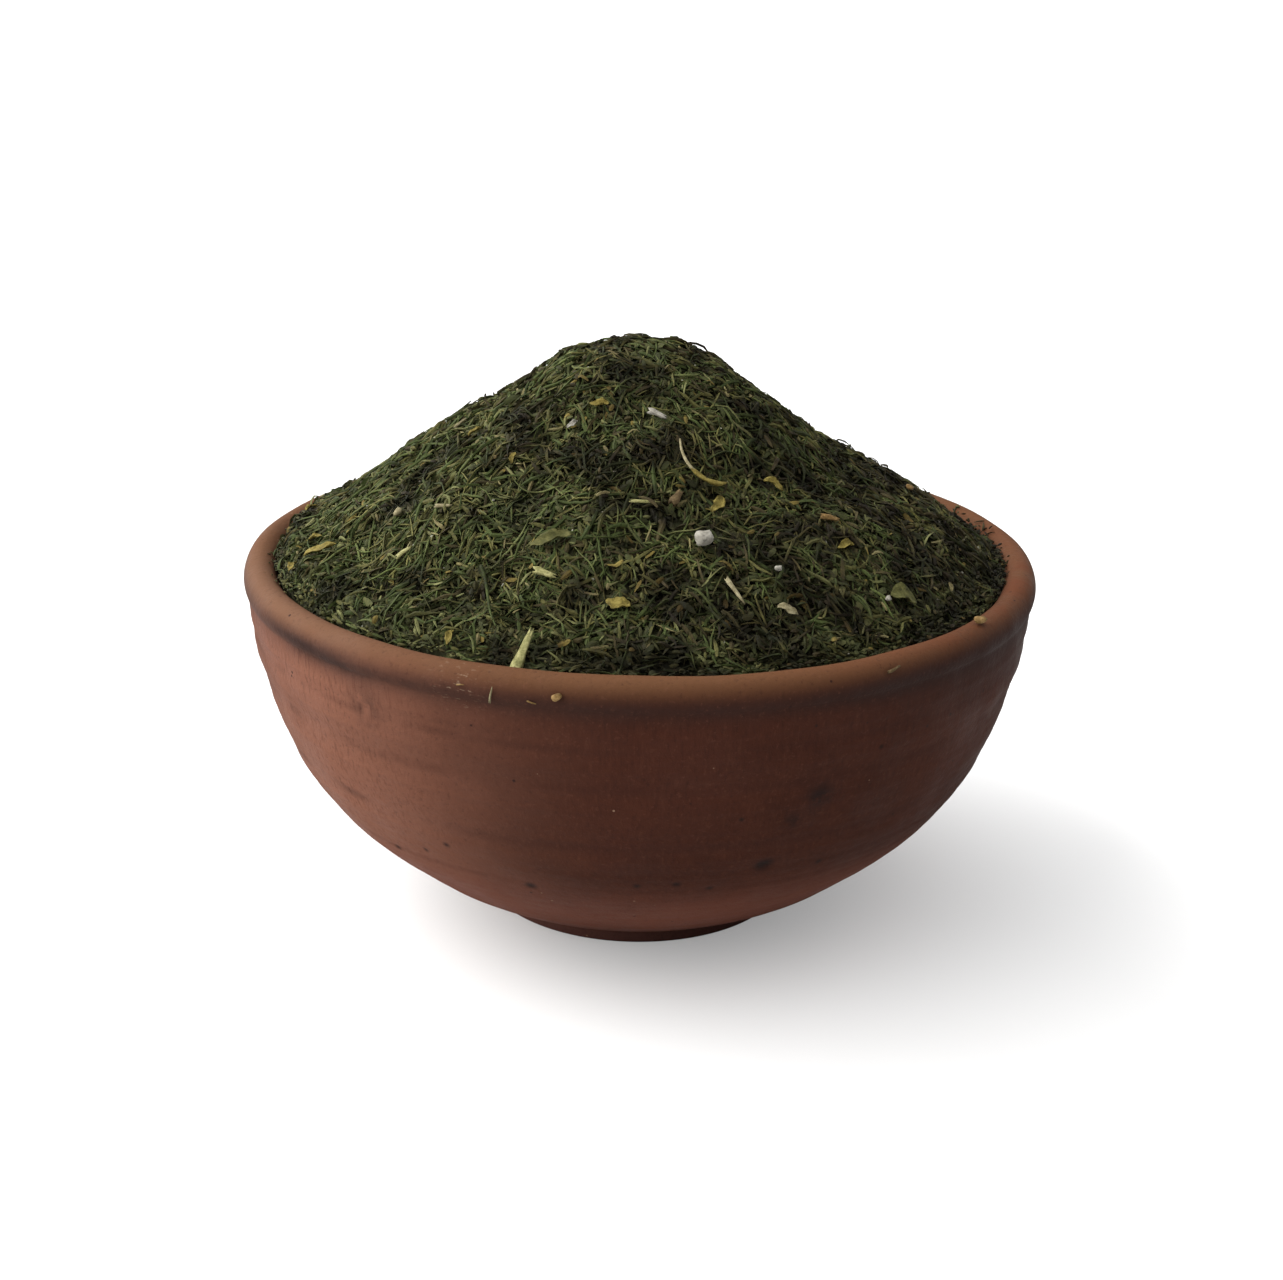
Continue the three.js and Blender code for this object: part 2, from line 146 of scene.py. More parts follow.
FAMILIES = [
    Family("dill_shadow", 4800, (1.6, 5.5), (0.5, 0.95), (-1.7, -0.7),
           ((0.028, 0.028, 0.013), (0.045, 0.045, 0.021), (0.062, 0.06, 0.027))),
    Family("dill_dark", 4600, (1.2, 6.0), (0.34, 0.7), (-1.1, 0.05),
           ((0.023, 0.026, 0.01), (0.038, 0.043, 0.015), (0.056, 0.06, 0.022)), lean=0.4),
    Family("dill_green", 4400, (1.4, 7.0), (0.32, 0.66), (-0.9, 0.32),
           ((0.026, 0.034, 0.011), (0.046, 0.059, 0.018), (0.07, 0.086, 0.028)), lean=-0.75),
    Family("dill_olive", 4200, (1.2, 6.0), (0.32, 0.68), (-0.8, 0.32),
           ((0.038, 0.037, 0.012), (0.074, 0.069, 0.023), (0.114, 0.102, 0.038)), lean=-0.5),
    Family("dill_brown", 4200, (1.0, 4.6), (0.34, 0.74), (-0.8, 0.3),
           ((0.022, 0.018, 0.008), (0.042, 0.033, 0.014), (0.078, 0.061, 0.028)), lean=0.8),
    Family("dill_light", 1000, (1.0, 5.6), (0.3, 0.56), (-0.25, 0.38),
           ((0.085, 0.088, 0.034), (0.132, 0.132, 0.054), (0.18, 0.172, 0.08)), lean=-0.65),
    Family("dill_straw", 420, (0.9, 3.6), (0.3, 0.6), (-0.2, 0.38),
           ((0.105, 0.084, 0.038), (0.175, 0.146, 0.07), (0.225, 0.196, 0.102)), lean=-0.3),
    Family("dill_dust", 5400, (0.7, 2.2), (0.26, 0.56), (-0.7, 0.32),
           ((0.022, 0.022, 0.009), (0.048, 0.045, 0.018), (0.112, 0.104, 0.045)),
           lean=0.2, flatness=0.35),
    Family("dill_crumbs", 4600, (0.7, 1.9), (0.36, 0.8), (-0.8, 0.2),
           ((0.018, 0.019, 0.008), (0.036, 0.037, 0.014), (0.066, 0.066, 0.026)), lean=0.3, flatness=0.3),
    Family("dill_edge", 3600, (0.7, 3.2), (0.3, 0.62), (-0.6, 0.22),
           ((0.02, 0.022, 0.008), (0.044, 0.046, 0.017), (0.11, 0.105, 0.044)), inner=50.8),
    Family("dill_flakes", 1900, (1.0, 3.2), (0.5, 1.1), (-0.6, 0.25),
           ((0.022, 0.024, 0.009), (0.046, 0.05, 0.018), (0.1, 0.098, 0.04)), flatness=0.16),
    Family("dill_long", 900, (5.0, 11.0), (0.32, 0.52), (-0.5, 0.25),
           ((0.028, 0.036, 0.012), (0.065, 0.078, 0.025), (0.135, 0.14, 0.056)),
           lean=-0.2, curl=1.1, stations=9),
    Family("dill_amber", 300, (0.9, 2.8), (0.4, 0.8), (-0.2, 0.34),
           ((0.07, 0.05, 0.013), (0.135, 0.098, 0.026), (0.22, 0.165, 0.05)), flatness=0.25),
    Family("dill_motes", 90, (0.25, 0.6), (0.2, 0.34), (0.15, 0.36),
           ((0.2, 0.19, 0.15), (0.33, 0.32, 0.28), (0.46, 0.45, 0.42))),
]
# Tones for the herb's darker patches, which grow towards the right as painted shade, from the deepest to
# the brightest.
PATCH_AND_SHADE_TONES = ((0.23, 0.205, 0.18), (0.55, 0.54, 0.48), (0.95, 0.985, 0.89))
# Forked sprigs of leaf: name, how many, side threads on each, and colours.
SPRIGS = [
    ("sprigs_green", 360, 5, ((0.034, 0.044, 0.014), (0.064, 0.08, 0.024), (0.115, 0.132, 0.044))),
    ("sprigs_olive", 340, 4, ((0.064, 0.06, 0.019), (0.122, 0.112, 0.038), (0.18, 0.162, 0.062))),
]

# The distinct scraps, as in the solid model: node, kind, slot, place, turn and size.
SCRAPS = [
    ("stalk_chip", "wedge", "pale_green", (-14.9, -51.3), 72, (7.0, 1.7, 0.8)),
    ("straw_sliver", "wedge", "straw", (12.8, -43.0), -58, (4.6, 0.8, 0.6)),
    ("tan_chip", "stick", "tan", (26.5, -25.2), 12, (2.8, 1.3, 0.8)),
    ("brown_chip", "stick", "brown", (4.9, -29.9), 80, (3.2, 1.5, 0.7)),
    ("green_chip", "stick", "pale_green", (-12.6, -41.3), -30, (3.6, 1.2, 0.8)),
    ("yellow_leaf", "leaf", "yellow", (10.6, -28.7), 75, (4.0, 1.5, 0.6)),
    ("olive_leaf", "leaf", "olive", (-12.2, -36.4), 8, (6.0, 2.0, 0.6)),
    ("round_leaf", "leaf", "olive", (36.4, -33.4), 10, (4.2, 3.0, 0.6)),
    ("pale_flake", "leaf", "straw", (19.8, -43.7), -10, (3.0, 1.3, 0.6)),
    ("yellow_flake_front", "leaf", "yellow", (-2.8, -45.8), -20, (3.4, 1.9, 0.6)),
    ("yellow_flake_right", "leaf", "yellow", (28.5, -29.4), 35, (3.2, 1.2, 0.6)),
    ("yellow_flake_middle", "leaf", "yellow", (18.7, -21.4), -15, (3.2, 1.3, 0.6)),
    ("yellow_flake_left", "leaf", "yellow", (-46.2, -18.6), 5, (5.2, 1.8, 0.6)),
    ("yellow_flake_upper", "leaf", "yellow", (-6.2, -15.4), -12, (2.8, 1.1, 0.6)),
    ("white_clump", "lump", "white", (8.5, -36.4), 20, (2.7, 2.3, 2.0)),
    ("white_bit", "stick", "white", (2.1, -17.6), -29, (3.0, 1.1, 0.8)),
    ("white_speck", "leaf", "white", (-9.9, -17.9), 40, (1.9, 0.8, 0.5)),
]
SCRAP_LIFT = -0.45
CHIP_LIFT = 0.35
BIT_LIFT = -0.25
CURLED_STALK = [(5.3, -21.5), (5.6, -23.4), (6.6, -25.3), (8.4, -26.2), (10.4, -25.9), (12.0, -24.8)]
CURLED_STALK_LIFT = 0.15
# The point of the stalk, of its 40 steps, where the rolled leaf starts.
CURLED_LEAF_START = 17
LIP_CRUMB = (324.2, 57.9, 30, (2.1, 1.4, 0.9))
# Smaller bits that only the scene has: kind, slot, place, turn and size.
BITS = [
    ("lump", "white", (18.6, -38.1), 10, (1.1, 0.8, 0.7)),
    ("lump", "white", (34.0, -35.5), 60, (0.9, 0.8, 0.6)),
    ("lump", "straw", (-34.4, -21.3), 30, (1.5, 1.1, 0.8)),
    ("stick", "pale_green", (-32.6, -30.4), 25, (2.8, 0.9, 0.6)),
    ("leaf", "yellow", (-49.8, -21.4), 60, (2.4, 1.2, 0.4)),
    ("leaf", "yellow", (-47.8, -13.5), -10, (2.6, 1.0, 0.4)),
    ("leaf", "yellow", (-51.0, 4.3), 35, (2.2, 1.1, 0.4)),
    ("leaf", "yellow", (-18.1, -21.0), 80, (2.0, 0.9, 0.4)),
    ("leaf", "yellow", (-24.5, -9.0), 15, (2.2, 0.8, 0.4)),
    ("stick", "straw", (-27.5, -26.0), -20, (3.0, 0.7, 0.5)),
    ("stick", "pale_green", (0.5, -31.5), 4, (4.2, 0.6, 0.5)),
    ("leaf", "yellow", (-24.8, -48.2), 70, (3.0, 1.0, 0.4)),
    ("stick", "straw", (-27.0, -4.0), 30, (2.4, 0.7, 0.5)),
    ("lump", "white", (6.0, 24.0), 15, (1.8, 1.4, 1.1)),
    ("leaf", "yellow", (-20.0, 30.0), 40, (3.2, 1.2, 0.4)),
    ("stick", "pale_green", (22.0, 38.0), 115, (4.6, 1.0, 0.6)),
    ("leaf", "olive", (34.0, 22.0), 20, (4.2, 1.8, 0.4)),
    ("stick", "straw", (-36.0, 27.0), -40, (3.6, 0.8, 0.5)),
    ("leaf", "yellow", (2.0, 45.0), 10, (3.0, 1.3, 0.4)),
    ("lump", "tan", (41.0, 3.0), 50, (1.8, 1.2, 0.8)),
    ("stick", "tan", (12.0, 13.0), 140, (2.6, 0.9, 0.6)),
]
# Bits that cling to the lip's outside: name, kind, slot, bearing, height, turn and size.
CLINGING = [
    ("clinging_crumb", "lump", "tan", 260.2, 53.7, 30, (1.5, 1.0, 0.7)),
    ("clinging_splinter", "stick", "straw", 251.8, 53.0, 82, (2.4, 0.32, 0.3)),
    ("clinging_chip", "stick", "tan", 257.0, 52.6, -12, (1.3, 0.25, 0.2)),
    ("dark_sliver", "stick", "brown", 304.2, 54.6, 10, (2.4, 0.5, 0.35)),
    ("pale_scratch", "stick", "tan", 247.6, 53.7, 6, (1.2, 0.2, 0.15)),
]
LONG_THREAD = [(-21.4, -37.7), (-20.6, -40.2), (-20.1, -42.9), (-19.6, -45.4), (-18.7, -47.9)]
# On the lip: so many grains of dust all round, and so many fallen threads about a bearing.
LIP_DUST = 200
LIP_FALLEN = 130
FALLEN_BEARING = 48
BLADE_SIDES = 4
# What lies this low is hidden under a distinct scrap.
HIDDEN_LIFT = -0.25

# The lights: name, bearing (0 is the camera's side, -90 its left), elevation, strength, softness, colour.
LIGHTS = [
    ("key", -80, 29, 4.3, 80, (1.0, 0.985, 0.96)),
    ("left_edge", -125, 30, 2.6, 60, (1.0, 0.99, 0.98)),
    ("right_edge", 118, 26, 0.5, 50, (0.97, 0.985, 1.0)),
    ("top", -20, 74, 2.0, 90, (1.0, 1.0, 1.0)),
    ("back", 170, 30, 0.35, 60, (1.0, 1.0, 1.0)),
]
# How bright the paper behind is as light, and how bright it looks.
PAPER = (0.16, 0.98)
FLOOR_GLOW = 0.28
FLOOR_HALF = 6000
FLOOR_HEIGHT = -0.02


def material(name, roughness, specular):
    """A new material, with its node tree, its shader and its object coordinates."""
    mat = bpy.data.materials.new(name)
    mat.use_nodes = True
    tree = mat.node_tree
    shader = tree.nodes["Principled BSDF"]
    shader.inputs["Roughness"].default_value = roughness
    shader.inputs["Specular IOR Level"].default_value = specular
    return mat, tree, shader, add_node(tree, "TexCoord", {})["Object"]


def add_node(tree, kind, inputs, **settings):
    """A new node's outputs. Each of its inputs takes a link or a value."""
    node = tree.nodes.new("ShaderNode" + kind)
    for name, value in settings.items():
        setattr(node, name, value)
    for socket, value in inputs.items():
        if isinstance(value, bpy.types.NodeSocket):
            tree.links.new(value, node.inputs[socket])
        else:
            node.inputs[socket].default_value = value
    return node.outputs


def noise(tree, coords, scale, detail=3.0, roughness=0.55):
    """Noise with a number of features to the metre."""
    inputs = {"Scale": scale, "Detail": detail, "Roughness": roughness, "Vector": coords}
    return add_node(tree, "TexNoise", inputs)["Fac"]


def stretched(tree, coords, scale):
    return add_node(tree, "Mapping", {"Scale": scale, "Vector": coords})["Vector"]


def spread(tree, value, low, high, to_low=0.0, to_high=1.0):
    """Maps a value smoothly from one range to another, and keeps it inside."""
    inputs = {"Value": value, "From Min": low, "From Max": high, "To Min": to_low, "To Max": to_high}
    return add_node(tree, "MapRange", inputs, interpolation_type="SMOOTHSTEP")["Result"]


def calc(tree, operation, first, second=0.0):
    return add_node(tree, "Math", {0: first, 1: second}, operation=operation)["Value"]


def product(tree, *values):
    result = values[0]
    for value in values[1:]:
        result = calc(tree, "MULTIPLY", result, value)
    return result


def blend(tree, factor, first, second, how="MIX"):
    """Mixes two colours, each a socket or three numbers."""
    first, second = ((*c, 1.0) if isinstance(c, tuple) else c for c in (first, second))
    return add_node(tree, "Mix", {0: factor, 6: first, 7: second}, data_type="RGBA", blend_type=how)[2]


def dress(tree, shader, colour, roughness, relief, strength, distance):
    """Links a colour, a roughness and a relief to the shader."""
    bump = add_node(tree, "Bump", {"Strength": strength, "Distance": distance, "Height": relief})
    for name, output in (("Normal", bump["Normal"]), ("Base Color", colour), ("Roughness", roughness)):
        tree.links.new(output, shader.inputs[name])


def axes(tree, coords):
    return add_node(tree, "SeparateXYZ", {0: coords})


def ramp(tree, value, colours):
    """Colours spread evenly over values from 0 to 1."""
    node = tree.nodes.new("ShaderNodeValToRGB")
    stops = node.color_ramp.elements
    for _ in colours[2:]:
        stops.new(0.5)
    for k, colour in enumerate(colours):
        stops[k].position = k / (len(colours) - 1)
        stops[k].color = (*colour, 1.0)
    tree.links.new(value, node.inputs["Fac"])
    return node.outputs["Color"]


def grains(tree, coords, scale, share, size):
    """Small specks: a share of the cells of a Voronoi pattern hold one."""
    cells = add_node(tree, "TexVoronoi", {"Scale": scale, "Vector": coords})
    dot = spread(tree, cells["Distance"], size * 0.6, size, 1.0, 0.0)
    red = add_node(tree, "SeparateColor", {"Color": cells["Color"]})["Red"]
    return calc(tree, "MULTIPLY", dot, calc(tree, "LESS_THAN", red, share))


def on_bowl(bearing, height):
    """A point of the bowl's outside, in millimetres."""
    angle = math.radians(bearing)
    radius = float(np.interp(height, [z for _, z in BELLY], [r for r, _ in BELLY]))
    return (radius * math.cos(angle), radius * math.sin(angle), height)


class Clay:
    """The places and the noises that the clay's colours are laid by. Shares run from 0 to 1."""

    def __init__(self, tree, coords):
        self.tree = tree
        self.coords = coords
        place = axes(tree, coords)
        self.height = place["Z"]
        self.bearing = calc(tree, "ARCTAN2", place["Y"], place["X"])
        self.clouds = noise(tree, coords, 38, 4)
        self.blotches = noise(tree, coords, 120, 4, 0.6)
        self.stains = noise(tree, coords, 420, 3)
        self.sand = noise(tree, coords, 1500, 3, 0.7)
        self.streaks = self.drawn((7, 7, 190), 4, 0.6)
        self.wisps = self.drawn((22, 22, 60), 5, 0.65)
        self.grain = self.drawn((1900, 1900, 300), 3, 0.6)
        self.scratches = self.drawn((900, 900, 3200), 3, 0.6)

    def drawn(self, scale, detail, roughness):
        """Noise that is drawn out along some axes."""
        return noise(self.tree, stretched(self.tree, self.coords, scale), 1.0, detail, roughness)

    def share(self, value, *span):
        return spread(self.tree, value, *span)

    def level(self, middle, half_width, lowered=0.0):
        """1 at a height of the bowl, fading to 0 at half_width from it. Both are in millimetres."""
        height = calc(self.tree, "SUBTRACT", self.height, lowered) if lowered else self.height
        away = calc(self.tree, "ABSOLUTE", calc(self.tree, "SUBTRACT", height, middle * MM))
        return spread(self.tree, away, 0.0, half_width * MM, 1.0, 0.0)

    def side(self, middle, half_width):
        """1 at a bearing round the bowl, fading to 0 at half_width from it. Both are in degrees."""
        # The arc cosine of a cosine carries on past the seam where a bearing jumps from 180 to -180.
        away = calc(self.tree, "SUBTRACT", self.bearing, math.radians(middle))
        away = calc(self.tree, "ARCCOSINE", calc(self.tree, "COSINE", away))
        return spread(self.tree, away, 0.0, math.radians(half_width), 1.0, 0.0)

    def spot(self, place, radius):
        """1 at a place in millimetres, fading to 0 at a radius from it."""
        inputs = {0: self.coords, 1: [c * MM for c in place]}
        away = add_node(self.tree, "VectorMath", inputs, operation="DISTANCE")["Value"]
        return spread(self.tree, away, 0.0, radius * MM, 1.0, 0.0)


def body_layers(clay):
    """Colours of the belly and the foot, each with the shares that it is laid by."""
    lit_warm_side = (clay.side(-142, 52), clay.share(clay.clouds, 0.25, 0.6, 0.55, 1.0))
    layers = [
        ((0.031, 0.0096, 0.0058), clay.share(clay.streaks, 0.38, 0.7, 0.0, 0.28)),
        ((0.064, 0.0215, 0.0125), clay.share(clay.blotches, 0.5, 0.75, 0.0, 0.4)),
        # Fine upright grain, as wiping leaves it.
        ((0.085, 0.031, 0.018), clay.share(clay.grain, 0.52, 0.72, 0.0, 0.2)),
        ((0.02, 0.007, 0.0046), clay.share(clay.grain, 0.48, 0.28, 0.0, 0.35)),
        # One side of the belly is lighter and more orange: partly the clay's own colour from the fire,
        # partly painted light where the key lights fall.
        ((0.166, 0.069, 0.043), *lit_warm_side),
        ((0.092, 0.033, 0.019), *lit_warm_side, clay.share(clay.grain, 0.5, 0.32, 0.0, 0.6)),
        # The lighter belt above the foot is painted bounce light from the floor; the foot below it is
        # darker.
        ((0.135, 0.0465, 0.029), clay.level(13.0, 12.0), clay.share(clay.clouds, 0.3, 0.6, 0.6, 1.0)),
        ((0.078, 0.032, 0.025), clay.level(1.2, 2.8)),
    ]
    for middle, width, most in RING_MARKS:
        patchy = clay.share(clay.blotches, 0.35, 0.65, 0.0, most)
        layers.append(((0.03, 0.011, 0.008), clay.level(middle, width), patchy))
    return layers


def lip_layers(clay):
    """The lip is paler on top, and paler and greyer on the left as painted sheen. A dark band lies under
    it, most of it on the left and the right: partly soot, partly painted shade under the overhanging
    bead.
    """
    tree = clay.tree
    lip = (clay.level(LIP_TOP, 3.6), clay.share(clay.wisps, 0.25, 0.6, 0.5, 1.0))
    ruddy = clay.level(LIP_TOP + 0.3, 2.2), clay.share(clay.blotches, 0.35, 0.6, 0.3, 0.95)
    soot_and_shade_sides = calc(tree, "MAXIMUM", clay.side(-127, 34), clay.side(-34, 44))
    # The upper edge of the soot and painted shade climbs towards the left.
    climb = calc(tree, "MULTIPLY", clay.side(-165, 57), 1.2 * MM)
    return [
        ((0.105, 0.046, 0.0205), *lip),
        # Paler, greyer lip on the left, where the light falls: painted sheen.
        ((0.128, 0.063, 0.035), *lip, clay.side(-150, 45)),
        ((0.12, 0.039, 0.0175), clay.side(-22, 62), *ruddy),
        # Soot and painted shade under the bead, in a narrow and a broad band.
        ((0.025, 0.014, 0.0115), clay.level(51.9, 2.5, climb),
         clay.share(clay.wisps, 0.34, 0.6, 0.4, 1.0), clay.share(soot_and_shade_sides, 0.0, 0.7, 0.5, 1.0)),
        ((0.023, 0.0098, 0.0074), clay.level(52.0, 3.8), clay.share(clay.wisps, 0.35, 0.62, 0.3, 0.85),
         clay.share(soot_and_shade_sides, 0.0, 0.9, 0.35, 0.95)),
    ]


def wear_layers(clay):
    """Sand, painted shade on the right of the lip, scuffs, smudges, and painted shade darkening the pits.
    """
    layers = [
        ((0.14, 0.056, 0.035), clay.share(clay.sand, 0.55, 0.75, 0.0, 0.22)),
        ((0.026, 0.01, 0.0075), clay.share(clay.sand, 0.45, 0.25, 0.0, 0.4)),
        # Painted shade on the right of the lip and the wall under it.
        ((0.026, 0.0108, 0.008), clay.level(50.5, 7.5), clay.side(-32, 40), 0.75),
        # Pale scuffs on the bead.
        ((0.27, 0.19, 0.13), clay.spot(SCUFFS, 6.0), clay.share(clay.scratches, 0.58, 0.7, 0.0, 0.5)),
    ]
    for bearing, z, radius, most in SMUDGES:
        patchy = clay.share(clay.stains, 0.3, 0.52, 0.0, most)
        layers.append(((0.014, 0.0075, 0.0065), clay.spot(on_bowl(bearing, z), radius), patchy))
    # Painted shade: a dark spot over each pit and round it, as its hollow would be shaded.
    for bearing, z, radius, _ in PITS:
        layers.append(((0.012, 0.0065, 0.0055), clay.spot(on_bowl(bearing, z), radius * 2.1), 0.9))
    layers.append(((0.024, 0.0105, 0.008), grains(clay.tree, clay.coords, 560, 0.05, 0.16)))
    layers.append(((0.2, 0.12, 0.08), grains(clay.tree, clay.coords, 700, 0.02, 0.14)))
    return layers


def terracotta():
    """Low-fired clay. Its colours are laid one over another."""
    mat, tree, shader, coords = material("terracotta", 0.8, 0.07)
    clay = Clay(tree, coords)
    ground = clay.share(clay.clouds, 0.3, 0.7)
    colour = blend(tree, ground, (0.037, 0.0112, 0.0062), (0.051, 0.0156, 0.0088))
    for shade, *shares in body_layers(clay) + lip_layers(clay) + wear_layers(clay):
        colour = blend(tree, product(tree, *shares), colour, shade)
    roughness = clay.share(clay.blotches, 0.3, 0.7, 0.62, 0.82)
    relief = calc(tree, "ADD", calc(tree, "MULTIPLY", clay.streaks, 1.3), clay.sand)
    dress(tree, shader, colour, roughness, relief, 0.5, 0.00022)
    return mat


def herb(name, colours, grain=330):
    """Dried leaf or stalk. Each loose piece has its own tone, and the whole heap has duller patches,
    larger towards the right as painted shade.
    """
    mat, tree, shader, coords = material(name, 0.75, 0.12)
    island = add_node(tree, "NewGeometry", {})["Random Per Island"]
    patches = spread(tree, noise(tree, coords, grain, 3, 0.6), 0.3, 0.7)
    fibres = noise(tree, coords, grain * 9, 2, 0.5)
    tone = calc(tree, "ADD", calc(tree, "MULTIPLY", island, 0.65), calc(tree, "MULTIPLY", patches, 0.35))
    colour = ramp(tree, tone, colours)
    deep = tuple(0.55 * c for c in colours[0])
    colour = blend(tree, spread(tree, fibres, 0.52, 0.34, 0.0, 0.45), colour, deep)
    # The patches are larger on the right: painted shade on the side away from the key light.
    wide = noise(tree, coords, 140, 3, 0.6)
    dull_and_shade = calc(tree, "SUBTRACT", wide, calc(tree, "MULTIPLY", axes(tree, coords)["X"], 1.3))
    dull_and_shade = ramp(tree, spread(tree, dull_and_shade, 0.36, 0.59), PATCH_AND_SHADE_TONES)
    colour = blend(tree, 1.0, colour, dull_and_shade, "MULTIPLY")
    roughness = spread(tree, fibres, 0.3, 0.7, 0.65, 0.9)
    dress(tree, shader, colour, roughness, fibres, 0.4, 0.00008)
    return mat


SCRAP_COLOURS = {
    "pale_green": ((0.1, 0.098, 0.034), (0.215, 0.205, 0.082), (0.35, 0.33, 0.155)),
    "straw": ((0.11, 0.092, 0.046), (0.21, 0.182, 0.102), (0.33, 0.298, 0.185)),
    "tan": ((0.085, 0.05, 0.017), (0.165, 0.1, 0.035), (0.275, 0.178, 0.075)),
    "brown": ((0.04, 0.026, 0.012), (0.082, 0.055, 0.025), (0.145, 0.102, 0.05)),
    "olive": ((0.032, 0.033, 0.009), (0.07, 0.069, 0.021), (0.13, 0.121, 0.043)),
    "yellow": ((0.074, 0.057, 0.013), (0.155, 0.122, 0.028), (0.26, 0.21, 0.058)),
    "white": ((0.17, 0.158, 0.13), (0.262, 0.246, 0.208), (0.33, 0.314, 0.272)),
}


def scrap_material(slot):
    """A fragment's finish: fine fibres along it, darker stains and a paler, worn skin."""
    mat, tree, shader, coords = material(slot + "_scrap", 0.75, 0.12)
    patches = noise(tree, coords, 900, 4, 0.65)
    fibres = noise(tree, stretched(tree, coords, (2600, 2600, 5200)), 1.0, 3, 0.6)
    tone = calc(tree, "ADD", calc(tree, "MULTIPLY", patches, 0.7), calc(tree, "MULTIPLY", fibres, 0.3))
    colour = ramp(tree, spread(tree, tone, 0.3, 0.7), SCRAP_COLOURS[slot])
    stain = tuple(0.4 * c for c in SCRAP_COLOURS[slot][0])
    colour = blend(tree, spread(tree, noise(tree, coords, 1500, 3), 0.6, 0.72, 0.0, 0.6), colour, stain)
    roughness = spread(tree, fibres, 0.3, 0.7, 0.6, 0.85)
    dress(tree, shader, colour, roughness, fibres, 0.5, 0.0001)
    return mat


def scene_object(name, data):
    obj = bpy.data.objects.new(name, data)
    bpy.context.scene.collection.objects.link(obj)
    return obj


def mesh_object(name, vertices, faces, mat, smooth=True):
    """A new object from places in millimetres."""
    mesh = bpy.data.meshes.new(name)
    mesh.from_pydata((np.asarray(vertices, float) * MM).tolist(), [], faces)
    mesh.polygons.foreach_set("use_smooth", [smooth] * len(mesh.polygons))
    mesh.materials.append(mat)
    mesh.update()
    return scene_object(name, mesh)


def smooth_line(pairs, steps):
    """Points spread evenly along a smooth line through the pairs."""
    knots = np.array(pairs, float)
    padded = np.vstack([2 * knots[0] - knots[1], knots, 2 * knots[-1] - knots[-2]])
    fine = []
    for a, b, c, d in zip(padded, padded[1:], padded[2:], padded[3:]):
        for t in np.linspace(0, 1, 24, endpoint=False):
            fine.append(0.5 * (2 * b + (c - a) * t + (2 * a - 5 * b + 4 * c - d) * t**2
                               + (3 * b - a - 3 * c + d) * t**3))
    fine = np.vstack([fine, knots[-1]])
    along = np.concatenate([[0], np.cumsum(np.hypot(*np.diff(fine, axis=0).T))])
    where = np.linspace(0, along[-1], steps + 1)
    return np.column_stack([np.interp(where, along, fine[:, k]) for k in (0, 1)])


def bowl_profile():
    belly = smooth_line(BELLY, BELLY_STEPS)
    for middle, depth, half in RINGS:
        belly[:, 0] += depth * np.exp(-((belly[:, 1] - middle) / half) ** 2)
    belly[:, 0] += 0.05 * np.sin(belly[:, 1] * 2.9) * np.sin(belly[:, 1] * 0.83)
    angles = np.radians(np.linspace(*LIP_SPAN, LIP_STEPS + 1))
    lip = np.column_stack([LIP_MIDDLE[0] + LIP_HALF[0] * np.cos(angles),
                           LIP_MIDDLE[1] + LIP_HALF[1] * np.sin(angles)])
    inside = smooth_line(INSIDE, INSIDE_STEPS)
    return np.vstack([FOOT, belly, GROOVE, lip, inside])


def spun(profile, sides):
    """The points and faces of a closed form spun round Z. The profile starts and ends on the axis."""
    angles = np.linspace(0, 2 * np.pi, sides, endpoint=False)
    ring_r, ring_z = profile[1:-1, 0], profile[1:-1, 1]
    x = ring_r[:, None] * np.cos(angles)
    y = ring_r[:, None] * np.sin(angles)
    z = np.repeat(ring_z[:, None], sides, 1)
    points = np.stack([x, y, z], -1).reshape(-1, 3)
    rows = len(ring_r)
    row, col = np.meshgrid(np.arange(rows - 1), np.arange(sides), indexing="ij")
    step = (col + 1) % sides
    low, high = row * sides, (row + 1) * sides
    quads = np.stack([low + col, low + step, high + step, high + col], -1)
    faces = quads.reshape(-1, 4).tolist()
    first, last = len(points), len(points) + 1
    points = np.vstack([points, [0, 0, profile[0, 1]], [0, 0, profile[-1, 1]]])
    top = (rows - 1) * sides
    for k in range(sides):
        faces.append([first, (k + 1) % sides, k])
        faces.append([last, top + k, top + (k + 1) % sides])
    return points, faces


def waves(table, bearing):
    return sum(rise * np.sin(times * bearing + phase) for rise, times, phase in table)


def clay_bowl():
    points, faces = spun(bowl_profile(), BOWL_SIDES)
    x, y, z = points.T
    bearing = np.arctan2(y, x)
    radius = np.hypot(x, y)
    wobble = waves(WOBBLES, bearing)
    wobble += 0.05 * np.sin(7 * bearing + z * 0.21) * np.sin(z * 0.37)
    # The foot and the middle stay as they are.
    share = np.clip(z / 12, 0, 1) * np.clip(radius / 20, 0, 1)
    moved = radius - SHRUNK * share + wobble * share * WOBBLE_SHARE
    lip = np.clip((z - 50) / 4, 0, 1)
    z = z + waves(LIP_WAVES, bearing) * lip - LIP_SUNK * lip
    outside = np.zeros(len(points), bool)
    outside[: (len(FOOT) + BELLY_STEPS) * BOWL_SIDES] = True
    for pit_bearing, pit_z, pit_radius, depth in PITS:
        turn = np.angle(np.exp(1j * (bearing - math.radians(pit_bearing))))
        away = np.hypot(turn * radius, z - pit_z) / pit_radius
        moved = np.where(outside, moved - depth * np.exp(-away**2), moved)
    scale = np.divide(moved, radius, out=np.ones_like(radius), where=radius > 1e-6)
    points = np.column_stack([x * scale, y * scale, z])
    add("clay_bowl_fine", (points, faces), terracotta(), "terracotta", "clay_bowl")


